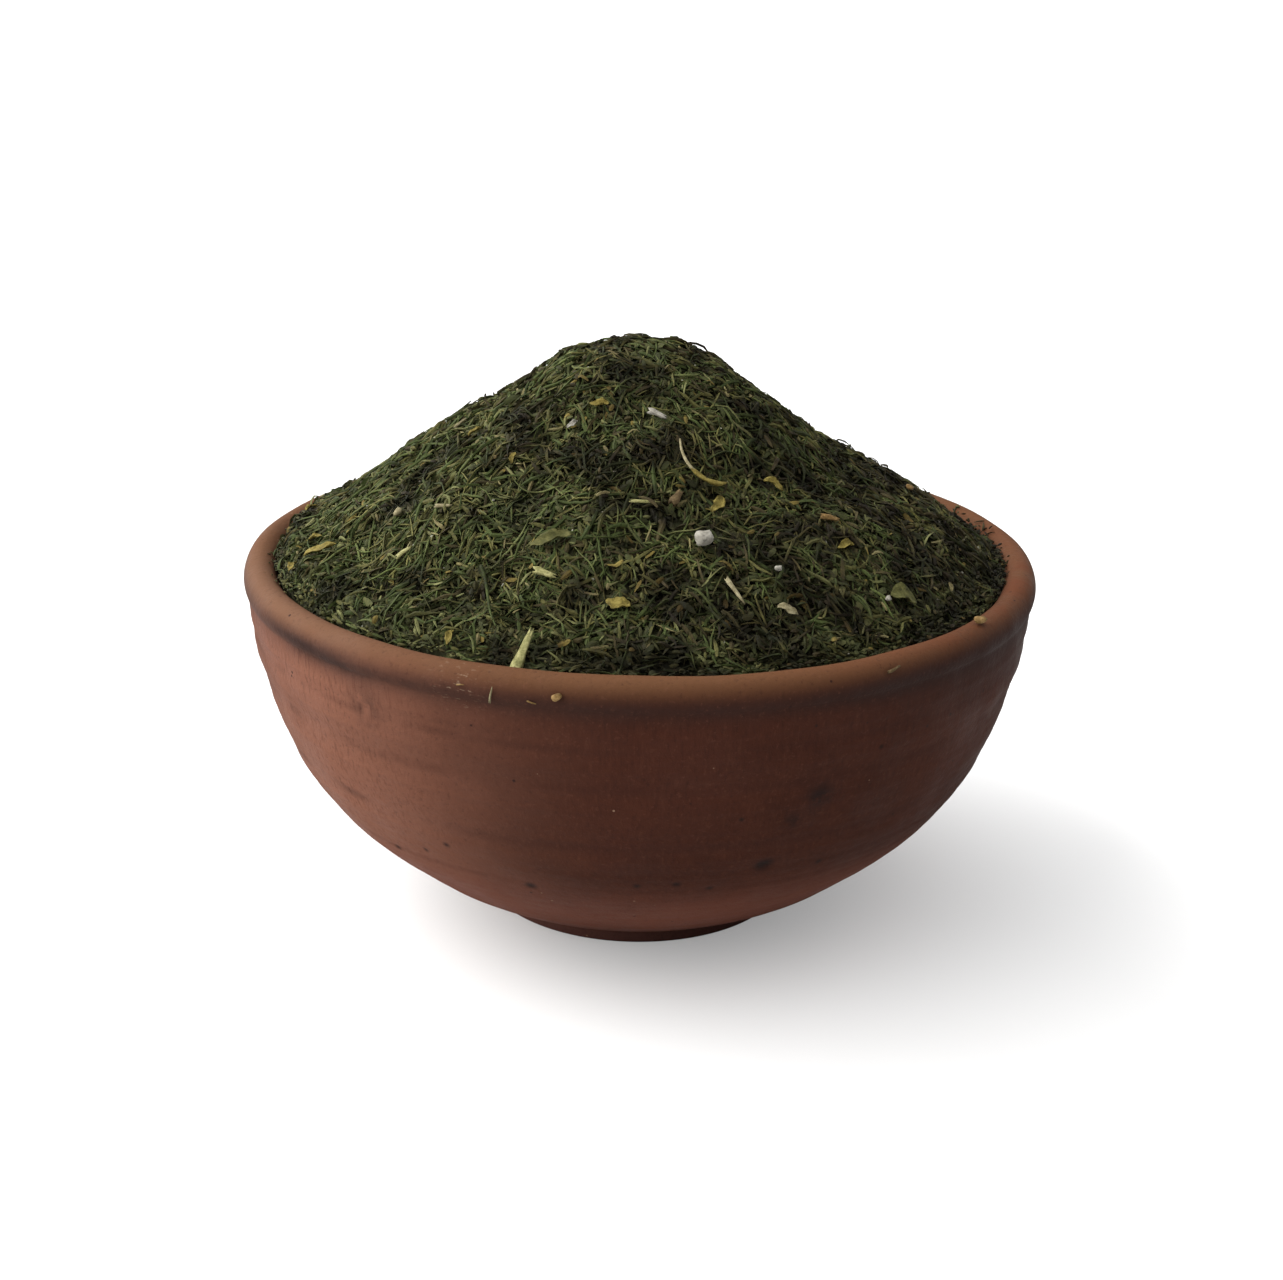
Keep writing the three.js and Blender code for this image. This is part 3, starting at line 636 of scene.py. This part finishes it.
def add(name, form, mat, slot, *nodes, smooth=True):
    """Adds a piece. It rides on the one body, takes the given finish and may stand for solids. Its slot
    is not used.
    """
    piece = mesh_object(name, *form, mat, smooth)
    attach(piece, "root")
    if nodes:
        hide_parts(*nodes)


def slope_height(pairs, r):
    """A smooth line through pairs of distance and height, level at the first pair."""
    knots = np.array(pairs, float)
    far, high = knots.T
    grade = np.empty(len(far))
    grade[0] = 0
    grade[1:-1] = (high[2:] - high[:-2]) / (far[2:] - far[:-2])
    grade[-1] = (high[-1] - high[-2]) / (far[-1] - far[-2])
    r = np.clip(r, 0, far[-1])
    i = np.clip(np.searchsorted(far, r, side="right") - 1, 0, len(far) - 2)
    step = far[i + 1] - far[i]
    t = (r - far[i]) / step
    bow = t * (1 - t) * step
    level = high[i] + (high[i + 1] - high[i]) * t * t * (3 - 2 * t)
    return level + bow * ((1 - t) * grade[i] - t * grade[i + 1])


def heap_height(x, y):
    """The height of the solid model's heap."""
    r = np.hypot(x, y)
    right = (1 + x / np.maximum(r, 1e-9)) / 2
    mound = slope_height(LEFT_SLOPE, r) * (1 - right) + slope_height(RIGHT_SLOPE, r) * right
    fade = np.sin(np.pi * np.minimum(1, r / LUMP_REACH))
    lumps = np.sin(x / 4.9 + 1.2) * np.sin(y / 5.6 + 0.4) + 0.6 * np.sin((x - y) / 4.3 + 2)
    return mound + LUMP * lumps * fade


def fine_height(x, y):
    """The height that the loose threads lie at: it is cloddy, and falls to the lip at its edge."""
    r = np.hypot(x, y)
    clods = np.sin(x / 1.9 + 2 * np.sin(y / 4.1)) * np.sin(y / 2.1 + 2 * np.sin(x / 3.7))
    knots = np.sin(x / 0.9 + 3 * np.sin(y / 3.1)) * np.sin(y / 1.1 + 3 * np.sin(x / 2.7))
    height = heap_height(x, y) - SETTLED + (0.38 * clods + 0.20 * knots) * np.clip(r / 6, 0.3, 1)
    for bx, by, breadth, rise in BULGES:
        height = height + rise * np.exp(-((x - bx) ** 2 + (y - by) ** 2) / breadth**2)
    t = np.clip((r - EDGE[0]) / (EDGE[1] - EDGE[0]), 0, 1)
    return height + (EDGE_HEIGHT - height) * t * t * (3 - 2 * t)


def lip_height(x, y):
    """The height of the lip's rounded top."""
    across = np.clip((np.hypot(x, y) - LIP_MIDDLE[0]) / LIP_HALF[0], -0.98, 0.98)
    return LIP_MIDDLE[1] + LIP_HALF[1] * np.sqrt(1 - across**2)


def unit(vectors):
    return vectors / np.linalg.norm(vectors, axis=-1, keepdims=True)


def normals(ground, x, y):
    d = 0.4
    dx = (ground(x + d, y) - ground(x - d, y)) / (2 * d)
    dy = (ground(x, y + d) - ground(x, y - d)) / (2 * d)
    return unit(np.stack([-dx, -dy, np.ones_like(dx)], -1))


def room(z):
    """How far out loose dill may reach at a height: to the clay inside the bowl, or over its lip."""
    line = np.array(INSIDE[::-1])
    wall = np.interp(z, line[:, 1], line[:, 0]) - 0.2
    up = np.clip((z - LIP_MIDDLE[1]) / LIP_HALF[1], 0, 1)
    lip = LIP_MIDDLE[0] - LIP_HALF[0] * np.sqrt(1 - up**2) - 0.05
    return np.where(z < LIP_MIDDLE[1], wall, np.where(z < LIP_TOP, lip, 59.4))


def heap_core():
    """The dark inner heap that shows between the threads, and fills the bowl under them. Its dark colour
    is painted shade deep in the heap.
    """
    inside = smooth_line(INSIDE, 14)
    inside[:, 0] = np.maximum(inside[:, 0] - CORE_GAP, 0)
    inside[:, 1] += CORE_GAP
    rings = np.linspace(CORE_REACH, 0, CORE_RINGS)
    top = np.column_stack([rings, np.full(CORE_RINGS, 60.0)])
    points, faces = spun(np.vstack([inside[::-1], top]), CORE_SIDES)
    x, y, z = points.T
    deep = CORE_DEPTH - 0.4 * np.clip((np.hypot(x, y) - 51) / 3, 0, 1)
    z = np.where(z > 59, fine_height(x, y) - deep, z)
    colours = ((0.024, 0.024, 0.012), (0.04, 0.039, 0.019), (0.056, 0.054, 0.026))
    form = np.column_stack([x, y, z]), faces
    add("dill_core", form, herb("dill_core", colours, 500), "dried_dill", "dill_heap")


def scatter(random, count, lean=0.0, inner=0.0):
    """Places spread evenly over the heap. A lean above 0 puts more on the right, below 0 on the left."""
    tries = 4 * count
    r = np.sqrt(inner**2 + (REACH**2 - inner**2) * random.random(tries))
    bearing = random.random(tries) * 2 * np.pi
    x, y = r * np.cos(bearing), r * np.sin(bearing)
    slant = normals(heap_height, x, y)[:, 2]
    kept = random.random(tries) < 0.5 * (1 + lean * x / REACH) * 0.6 / slant
    return x[kept][:count], y[kept][:count]


def covered(x, y):
    """True under the distinct scraps, where threads lie low so that they don't hide them."""
    hidden = np.zeros(x.shape, bool)
    for _, _, _, (cx, cy), turn, (length, width, _) in SCRAPS:
        a = math.radians(turn)
        along = (x - cx) * math.cos(a) + (y - cy) * math.sin(a)
        across = (y - cy) * math.cos(a) - (x - cx) * math.sin(a)
        hidden |= (np.abs(along) < length / 2 + 0.1) & (np.abs(across) < width / 2 + 0.35)
    for cx, cy in CURLED_STALK + LONG_THREAD:
        hidden |= np.hypot(x - cx, y - cy) < 1.0
    return hidden


def between(random, span, count, power=1.0):
    return span[0] + (span[1] - span[0]) * random.random(count) ** power


def loop_faces(rows, sides):
    """Faces of a closed form whose points run loop by loop, with flat ends."""
    faces = []
    for row in range(rows - 1):
        for k in range(sides):
            a, b = row * sides + k, row * sides + (k + 1) % sides
            faces.append([a, b, b + sides, a + sides])
    faces.append(list(range(sides))[::-1])
    faces.append([(rows - 1) * sides + k for k in range(sides)])
    return faces


def lofted(loops):
    loops = np.asarray(loops, float)
    return loops.reshape(-1, 3), loop_faces(*loops.shape[:2])


def blades(random, x, y, heading, length, width, lift, curl, tilt, arch, flatness=0.55, stations=5,
           ground=fine_height):
    """Loose threads, each a bent, tapered and closed blade with its middle at x and y."""
    count = len(x)
    thick = width * flatness * (0.75 + 0.5 * random.random(count))
    twist = random.random(count) * np.pi if flatness > 0.3 else random.normal(0, 0.35, count)
    turn = random.normal(0, 0.6, count)
    # The middle line bends in plan, and tilts and arches over the ground.
    s = np.linspace(-0.5, 0.5, stations)
    kink = random.normal(0, 0.4, count) * (random.random(count) < 0.2)
    way = heading[:, None] + curl[:, None] * s + kink[:, None] * (s > 0.1)
    flat = np.stack([np.cos(way), np.sin(way)], -1)
    normal = normals(ground, x, y)
    rise = -(normal[:, 0, None] * flat[..., 0] + normal[:, 1, None] * flat[..., 1]) / normal[:, 2, None]
    flat = flat / np.sqrt(1 + rise**2)[..., None]
    path = np.cumsum(length[:, None, None] * flat / (stations - 1), 1)
    path -= path[:, stations // 2, None]
    px, py = x[:, None] + path[..., 0], y[:, None] + path[..., 1]
    low = covered(px, py).any(1)
    lift = np.where(low, np.minimum(lift, HIDDEN_LIFT), lift)
    tilt = np.where(low, 0, tilt)
    arch = np.where(low, 0, arch)
    up = normals(ground, px, py)
    height = lift[:, None] + tilt[:, None] * s * length[:, None] + arch[:, None] * (1 - 4 * s**2)
    middle = np.stack([px, py, ground(px, py)], -1) + up * height[..., None]
    along = unit(np.gradient(middle, axis=1))
    side = unit(np.cross(up, along))
    over = np.cross(along, side)
    # Its section is a flat four-sided blade, thinner towards both ends.
    taper = np.interp(s, [-0.5, -0.25, 0.2, 0.5], [0.55, 1.0, 0.95, 0.22])
    corner = np.arange(BLADE_SIDES) * 2 * np.pi / BLADE_SIDES
    spin = (twist[:, None] + turn[:, None] * s)[..., None]
    across = np.cos(corner) * width[:, None, None] / 2 * taper[:, None]
    tall = np.sin(corner) * thick[:, None, None] / 2 * taper[:, None]
    shift = across * np.cos(spin) - tall * np.sin(spin)
    hoist = across * np.sin(spin) + tall * np.cos(spin)
    points = middle[:, :, None] + shift[..., None] * side[:, :, None]
    points = (points + hoist[..., None] * over[:, :, None]).reshape(-1, 3)
    r = np.hypot(points[:, 0], points[:, 1])
    points[:, :2] *= np.minimum(1, room(points[:, 2]) / np.maximum(r, 1e-6))[:, None]
    faces = np.array(loop_faces(stations, BLADE_SIDES))
    starts = np.arange(count) * stations * BLADE_SIDES
    return points, (faces[None] + starts[:, None, None]).reshape(-1, BLADE_SIDES).tolist()


def threads(family, random):
    x, y = scatter(random, family.count, family.lean, family.inner)
    n = len(x)
    length = between(random, family.lengths, n, 2.2)
    width = between(random, family.widths, n)
    lift = between(random, family.lifts, n)
    curl = random.normal(0, family.curl, n) * np.minimum(1, length / 3)
    tilt = random.normal(0, 0.15, n) * np.minimum(1, 2.5 / length)
    arch = random.normal(0.02, 0.05, n) * np.minimum(length, 3.5)
    heading = random.random(n) * 2 * np.pi
    # At the bowl's edge the pieces are shorter and lie along it.
    edge = np.clip((np.hypot(x, y) - 51.5) / 2.5, 0, 1)
    along = np.arctan2(y, x) + np.pi / 2 + random.normal(0, 0.4, n)
    heading = np.where(random.random(n) < edge, along, heading)
    length = length * (1 - 0.45 * edge)
    form = blades(random, x, y, heading, length, width, lift, curl, tilt, arch,
                  family.flatness, family.stations)
    finish = herb(family.name, family.colours)
    add(family.name, form, finish, "dried_dill", "dill_heap", smooth=family.stations > 5)


def sprigs(name, count, sides, colours, random):
    """Forked scraps of leaf: a stem with side threads that leave it in turn on both hands."""
    x, y = scatter(random, count, -0.2)
    inner = np.hypot(x, y) < 49
    x, y = x[inner], y[inner]
    n = len(x)
    heading = random.random(n) * 2 * np.pi
    length = between(random, (3.5, 7.5), n)
    width = between(random, (0.34, 0.5), n)
    lift = between(random, (-0.2, 0.3), n)
    rows = [(x, y, heading, length, width, lift)]
    for k in range(sides):
        s = (k + 0.6) / sides - 0.35
        fork = heading + (1 if k % 2 else -1) * between(random, (0.45, 0.85), n)
        reach = length * between(random, (0.25, 0.5), n) * (1.1 - s)
        bx = x + s * length * np.cos(heading) + reach / 2 * np.cos(fork)
        by = y + s * length * np.sin(heading) + reach / 2 * np.sin(fork)
        rows.append((bx, by, fork, reach, width * 0.8, lift))
    x, y, heading, length, width, lift = (np.concatenate(column) for column in zip(*rows))
    level = np.zeros(len(x))
    curl = random.normal(0, 0.25, len(x))
    form = blades(random, x, y, heading, length, width, lift, curl, level, level)
    add(name, form, herb(name, colours), "dried_dill", "dill_heap")


def spill(random):
    """Dust and threads that have fallen on the lip: a little all round, and most at the back right."""
    dust, fallen = LIP_DUST, LIP_FALLEN
    n = dust + fallen
    r = np.concatenate([
        between(random, (55.2, 56.4), dust, 1.6), between(random, (54.8, 56.8), fallen, 1.4),
    ])
    bearing = np.concatenate([
        random.random(dust) * 2 * np.pi, np.radians(random.normal(FALLEN_BEARING, 15, fallen)),
    ])
    x, y = r * np.cos(bearing), r * np.sin(bearing)
    length = np.concatenate([
        between(random, (0.3, 1.2), dust, 1.5), between(random, (0.8, 3.2), fallen, 1.5),
    ])
    width = between(random, (0.22, 0.5), n)
    lift = np.concatenate([np.full(dust, 0.08), between(random, (0.05, 0.5), fallen)])
    level = np.zeros(n)
    heading = bearing + np.pi / 2 + random.normal(0, 0.7, n)
    curl = random.normal(0, 0.4, n)
    form = blades(random, x, y, heading, length, width, lift, curl, level, level, ground=lip_height)
    colours = ((0.022, 0.022, 0.009), (0.05, 0.048, 0.019), (0.12, 0.104, 0.048))
    add("dill_spill", form, herb("dill_spill", colours), "dried_dill", "dill_heap")


def stick(length, width, thick, seed, taper=0.45, bend=0.03):
    """A snapped piece of stalk: ribbed, a little bent, thinner at one end and torn at both."""
    rows, sides = 15, 14
    angle = np.arange(sides) / sides * 2 * np.pi
    loops = []
    for u in np.linspace(0, 1, rows):
        ribs = 1 + 0.10 * np.cos(5 * angle + seed) + 0.05 * np.sin(9 * angle + 2 * seed + 3 * u)
        waist = (1.0 - taper * u) * (1 - 0.25 * (2 * u - 1) ** 8) * (1 + 0.06 * math.sin(9 * u + seed))
        torn = 0.10 * length * np.sin(3 * angle + seed) * (max(0, 1 - 6 * u) + max(0, 6 * u - 5))
        x = (u - 0.5) * length * 0.86 + torn
        y = width / 2 * waist * ribs * np.cos(angle) + bend * length * math.sin(math.pi * u + 0.3 * seed)
        z = thick / 2 * (1 + waist * ribs * np.sin(angle)) + bend * length * math.sin(math.pi * u)
        loops.append(np.stack([x + 0 * angle, y, z], -1))
    return lofted(loops)


def wedge(length, width, thick, seed):
    """A split piece of stalk: straight, and almost pointed at one end."""
    return stick(length, width, thick, seed, 0.62, 0.0)


def leaf(length, width, thick, seed):
    """A scrap of dried leaf: thin, cupped and curled, with a ragged outline and a rib."""
    rows, half = 19, 7
    v = np.concatenate([np.linspace(-1, 1, half), np.linspace(1, -1, half)[1:-1]])
    top = np.concatenate([np.ones(half), -np.ones(half - 2)])
    top[[0, half - 1]] = 0
    skin = min(0.16, 0.3 * thick)
    loops = []
    for u in np.linspace(0.015, 0.985, rows):
        body = math.sin(math.pi * u) ** 0.6
        ragged = 1 + 0.16 * math.sin(11 * u + seed) + 0.10 * math.sin(23 * u + 2 * seed)
        lopsided = 0.12 * width * math.sin(5 * u + seed)
        x = (u - 0.5) * length + 0.02 * length * np.sin(4 * v + seed)
        y = width / 2 * body * ragged * v + lopsided
        cup = 0.9 * thick * (v**2) * body * (1 + 0.5 * math.sin(7 * u + seed))
        curl = thick * (0.55 + 0.5 * math.sin(2.2 * u + seed)) * math.sin(math.pi * u)
        rib = 0.10 * np.exp(-((v / 0.2) ** 2)) * body
        ripple = 0.09 * np.sin(7 * v + 15 * u + seed) * body
        z = skin + cup + 0.6 * curl + (skin / 2 * top + rib * (top > 0)) + ripple
        loops.append(np.stack([x, y, z], -1))
    return lofted(loops)


def lump(length, width, thick, seed):
    """A rough little clump, knobbly all over."""
    rows, sides = 15, 20
    angle = np.arange(sides) / sides * 2 * np.pi
    loops = []
    for polar in np.linspace(0.08, math.pi - 0.08, rows):
        x, y = math.sin(polar) * np.cos(angle), math.sin(polar) * np.sin(angle)
        z = math.cos(polar)
        square = (np.abs(x) ** 2.5 + np.abs(y) ** 2.5 + abs(z) ** 2.5) ** (-1 / 2.5)
        knob = square * (0.94 + 0.09 * np.sin(3 * x + 2 + seed) * np.cos(3 * y + 2 * z))
        warts = 0.05 * np.sin(6 * y + 5 * z + seed) * np.cos(5 * x - 4 * z)
        warts += 0.02 * np.sin(15 * x + 12 * y + 13 * z)
        knob += warts
        knob += 0.30 * np.exp(-((x - 0.55) ** 2 + (y - 0.35) ** 2 + (z - 0.75) ** 2) / 0.05)
        loop = [x * knob * length / 2, y * knob * width / 2, (z * knob + 1) * thick / 2]
        loops.append(np.stack(loop, -1)[::-1])
    return lofted(loops)


SHAPES = {"stick": stick, "wedge": wedge, "leaf": leaf, "lump": lump}


def laid(points, x, y, turn, lift, ground=heap_height):
    """Lays a small form on a slope: its X runs along the turn, its underside stands lift off it."""
    at = np.array([x]), np.array([y])
    normal = normals(ground, *at)[0]
    way = np.array([math.cos(math.radians(turn)), math.sin(math.radians(turn)), 0])
    across = np.cross(normal, way)
    across /= np.linalg.norm(across)
    along = np.cross(across, normal)
    origin = np.array([x, y, ground(*at)[0]]) + normal * lift
    return origin + points @ np.array([along, across, normal])


def scraps():
    """The distinct fragments on the heap, each in place of its node."""
    finishes = {slot: scrap_material(slot) for slot in SCRAP_COLOURS}
    for k, (node, kind, slot, (x, y), turn, size) in enumerate(SCRAPS):
        points, faces = SHAPES[kind](*size, 1.7 * k)
        # The stalk chip reaches over the heap's edge, and lies on the fine threads there.
        ground, lift = (fine_height, CHIP_LIFT) if node == "stalk_chip" else (heap_height, SCRAP_LIFT)
        form = laid(points, x, y, turn, lift, ground), faces
        add(node + "_fine", form, finishes[slot], slot, node)
    for k, (kind, slot, (x, y), turn, size) in enumerate(BITS):
        points, faces = SHAPES[kind](*size, 0.9 * k + 0.4)
        add(f"{slot}_bit_{k + 1}", (laid(points, x, y, turn, BIT_LIFT), faces), finishes[slot], slot)
    curled_stalk(finishes["straw"], finishes["yellow"])
    long_thread(herb("long_thread", FAMILIES[2].colours))
    lip_crumbs(finishes)


def tube(line, radii, sides=12, flat=1.0):
    """A round or flattened tube along a line of points."""
    along = unit(np.gradient(line, axis=0))
    side = unit(np.cross([0, 0, 1.0], along))
    over = np.cross(along, side)
    angle = np.arange(sides) / sides * 2 * np.pi
    ribs = 1 + 0.08 * np.cos(4 * angle)
    out, up = (np.cos(angle) * ribs)[:, None], (np.sin(angle) * ribs)[:, None]
    section = side[:, None] * out + flat * over[:, None] * up
    return lofted(line[:, None] + radii[:, None, None] * section)


def over_heap(places, steps, lift):
    """Points of a smooth line over the heap through places in plan."""
    plan = smooth_line(places, steps)
    return np.column_stack([plan, heap_height(plan[:, 0], plan[:, 1]) + lift])


def curled_stalk(stalk_finish, leaf_finish):
    """A thin stalk that ends in a rolled scrap of leaf."""
    line = over_heap(CURLED_STALK, 40, CURLED_STALK_LIFT)
    u = np.linspace(0, 1, len(line))
    line[:, 2] += 0.5 * np.sin(np.pi * u) ** 2
    form = tube(line, 0.12 + 0.12 * np.sin(np.pi * u))
    add("curled_stalk_fine", form, stalk_finish, "straw", "curled_stalk")
    line = line[CURLED_LEAF_START:]
    u = np.linspace(0, 1, len(line))
    radii = 0.14 + 0.44 * np.sin(np.pi * u) ** 0.7 * (1 + 0.25 * np.sin(11 * u))
    add("curled_leaf", tube(line, radii, 12, 0.6), leaf_finish, "yellow")


def long_thread(finish):
    line = over_heap(LONG_THREAD, 30, 0.1)
    u = np.linspace(0, 1, len(line))
    add("long_thread", tube(line, 0.26 * (1 - 0.6 * u), 8), finish, "dried_dill")


def lip_crumbs(finishes):
    """The crumb on the lip, in place of its node, and smaller bits that cling to the lip's outside."""
    bearing, r, turn, size = LIP_CRUMB
    a = math.radians(bearing)
    points, faces = lump(*size, 4.2)
    points = laid(points, r * math.cos(a), r * math.sin(a), turn, 0.02, lip_height)
    add("lip_crumb_fine", (points, faces), finishes["tan"], "tan", "lip_crumb")
    for name, kind, slot, bearing, z, turn, size in CLINGING:
        points, faces = SHAPES[kind](*size, 2.3 + bearing)
        add(name, (against_lip(points, bearing, z, turn), faces), finishes[slot], slot)


def against_lip(points, bearing, z, turn):
    """Lays a small form against the lip's outside at a height."""
    a, up = math.radians(bearing), (z - LIP_MIDDLE[1]) / LIP_HALF[1]
    out = math.sqrt(1 - up**2)
    slope = np.array([out / LIP_HALF[0], up / LIP_HALF[1]])
    slope /= np.linalg.norm(slope)
    normal = np.array([math.cos(a) * slope[0], math.sin(a) * slope[0], slope[1]])
    level = np.array([-math.sin(a), math.cos(a), 0])
    rise = np.cross(normal, level)
    t = math.radians(turn)
    along = level * math.cos(t) + rise * math.sin(t)
    across = np.cross(normal, along)
    r = LIP_MIDDLE[0] + LIP_HALF[0] * out
    origin = np.array([r * math.cos(a), r * math.sin(a), z]) - 0.12 * normal
    return origin + points @ np.array([along, across, normal])


def heap():
    random = np.random.default_rng(SEED)
    heap_core()
    for family in FAMILIES:
        threads(family, random)
    for name, count, sides, colours in SPRIGS:
        sprigs(name, count, sides, colours, random)
    spill(random)
    scraps()


def camera():
    elevation, roll = math.radians(CAMERA_ELEVATION), math.radians(CAMERA_ROLL)
    forward = Vector((0, math.cos(elevation), -math.sin(elevation)))
    right = Vector((1, 0, 0))
    up = Vector((0, math.sin(elevation), math.cos(elevation)))
    across = right * math.cos(roll) + up * math.sin(roll)
    upright = up * math.cos(roll) - right * math.sin(roll)
    eye = (Vector(CAMERA_TARGET) - forward * CAMERA_DISTANCE) * MM
    data = bpy.data.cameras.new("camera")
    data.sensor_fit = "HORIZONTAL"
    data.sensor_width = SENSOR_WIDTH
    data.lens = CAMERA_LENS
    data.clip_start = 0.01
    turn = Matrix((across, upright, -forward)).transposed().to_4x4()
    obj = scene_object("camera", data)
    obj.matrix_world = Matrix.Translation(eye) @ turn
    bpy.context.scene.camera = obj


def sun(name, azimuth, elevation, strength, softness, colour):
    data = bpy.data.lights.new(name, "SUN")
    data.energy = strength
    data.angle = math.radians(softness)
    data.color = colour
    a, e = math.radians(azimuth), math.radians(elevation)
    towards = Vector((math.sin(a) * math.cos(e), -math.cos(a) * math.cos(e), math.sin(e)))
    scene_object(name, data).rotation_euler = towards.to_track_quat("Z", "Y").to_euler()


def for_camera(tree, light, look):
    """One strength as light, and another as the camera sees it."""
    seen = add_node(tree, "LightPath", {})["Is Camera Ray"]
    return spread(tree, seen, 0.0, 1.0, light, look)


def studio():
    scene = bpy.context.scene
    scene.view_settings.view_transform = "Standard"
    for light in LIGHTS:
        sun(*light)
    world = bpy.data.worlds.new("studio")
    scene.world = world
    world.use_nodes = True
    tree = world.node_tree
    background = tree.nodes["Background"]
    background.inputs["Color"].default_value = (0.97, 0.98, 1.0, 1)
    # The paper behind looks as pale as the floor, but lights the part only a little.
    tree.links.new(for_camera(tree, *PAPER), background.inputs["Strength"])
    mat, tree, shader, coords = material("floor", 0.9, 0.1)
    tint = blend(tree, noise(tree, coords, 3, 2), (0.62, 0.62, 0.618), (0.635, 0.635, 0.635))
    tree.links.new(tint, shader.inputs["Base Color"])
    # It glows a little to the camera alone, so that the part's shadow on it stays faint.
    shader.inputs["Emission Color"].default_value = (1.0, 1.0, 1.0, 1.0)
    tree.links.new(for_camera(tree, 0.0, FLOOR_GLOW), shader.inputs["Emission Strength"])
    ends = (-FLOOR_HALF, FLOOR_HALF)
    corners = [(x, y, FLOOR_HEIGHT) for x in ends for y in ends]
    floor = mesh_object("floor", corners, [[0, 2, 3, 1]], mat, False)


camera()
studio()
clay_bowl()
heap()
